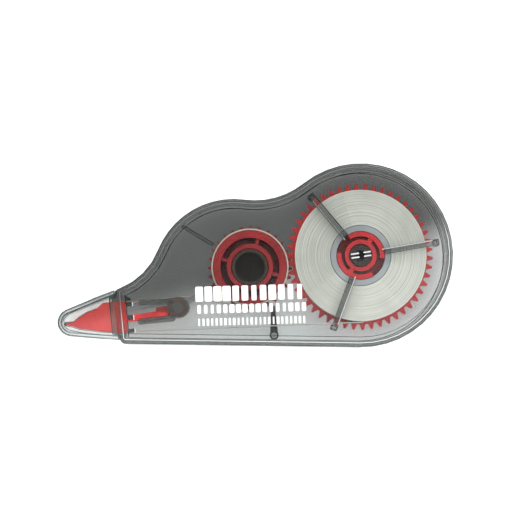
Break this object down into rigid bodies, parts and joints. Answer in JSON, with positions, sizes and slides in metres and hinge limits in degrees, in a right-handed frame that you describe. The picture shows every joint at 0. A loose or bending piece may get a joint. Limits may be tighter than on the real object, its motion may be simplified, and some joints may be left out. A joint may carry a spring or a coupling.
{
  "type": "correction tape roller",
  "caption": "Flat see-through correction tape roller: geared supply roll and take-up reel, applicator head on a stem, and a clear cap that pulls off.",
  "frame": {"origin": "under the middle of the overall box, on the flat back of the casing", "axes": "+X along the roller from the applicator head to the round end, +Z through its thickness from the back shell to the front shell, +Y from the straight lower side to the shoulder"},
  "size_m": [0.0864, 0.0402, 0.013],
  "materials": {
    "smoke_plastic": "clear smoke-tinted, polished",
    "clear_plastic": "clear, polished",
    "red_plastic": "moulded satin",
    "head_plastic": "moulded satin",
    "core_plastic": "translucent satin",
    "white_tape": "matt wound film",
    "liner_film": "satin coated paper",
    "pawl_plastic": "smoke-tinted, dark where thick",
    "white_print": "screen print"
  },
  "bodies": {
    "casing": {"back_shell": "smoke_plastic", "front_shell": "smoke_plastic", "fresh_tape_run": "white_tape", "liner_run": "liner_film"},
    "drive_wheel": {"supply_gear": "red_plastic", "clutch_spring": "red_plastic"},
    "tape_spool": {"roll_core": "core_plastic", "tape_roll": "white_tape"},
    "take_up": {"take_up_reel": "red_plastic", "liner_roll": "liner_film"},
    "cap": {"tip_cap": "clear_plastic"},
    "head": {"applicator_head": "head_plastic", "tip_tape_loop": "white_tape"},
    "pawl": {"back_stop_pawl": "pawl_plastic"}
  },
  "joints": [
    {"name": "supply_spin", "type": "hinge", "parent": "casing", "child": "drive_wheel", "pos_m": [0.0231, 0, 0.0065], "axis": [0, 0, 1], "continuous": true},
    {"name": "roll_slip", "type": "hinge", "parent": "drive_wheel", "child": "tape_spool", "pos_m": [0.0231, 0, 0.0065], "axis": [0, 0, 1], "continuous": true},
    {"name": "take_up_spin", "type": "hinge", "parent": "casing", "child": "take_up", "pos_m": [-0.00114, -0.00255, 0.0065], "axis": [0, 0, 1], "continuous": true},
    {"name": "cap_pull", "type": "slide", "parent": "casing", "child": "cap", "axis": [-0.9952, -0.0976, 0], "range_m": [0, 0.03]},
    {"name": "head_rock", "type": "hinge", "parent": "casing", "child": "head", "pos_m": [-0.01685, -0.01145, 0.0065], "axis": [0, 0, 1], "range_deg": [-1.5, 1.5]},
    {"name": "pawl_flex", "type": "hinge", "parent": "casing", "child": "pawl", "pos_m": [0.0042, -0.01737, 0.0029], "axis": [0, 0, 1], "range_deg": [-11, 0], "stiffness_Nm_per_rad": 0.002}
  ],
  "couplings": [
    {"joint": "take_up_spin", "follows": "supply_spin", "ratio": -1.7857}
  ]
}
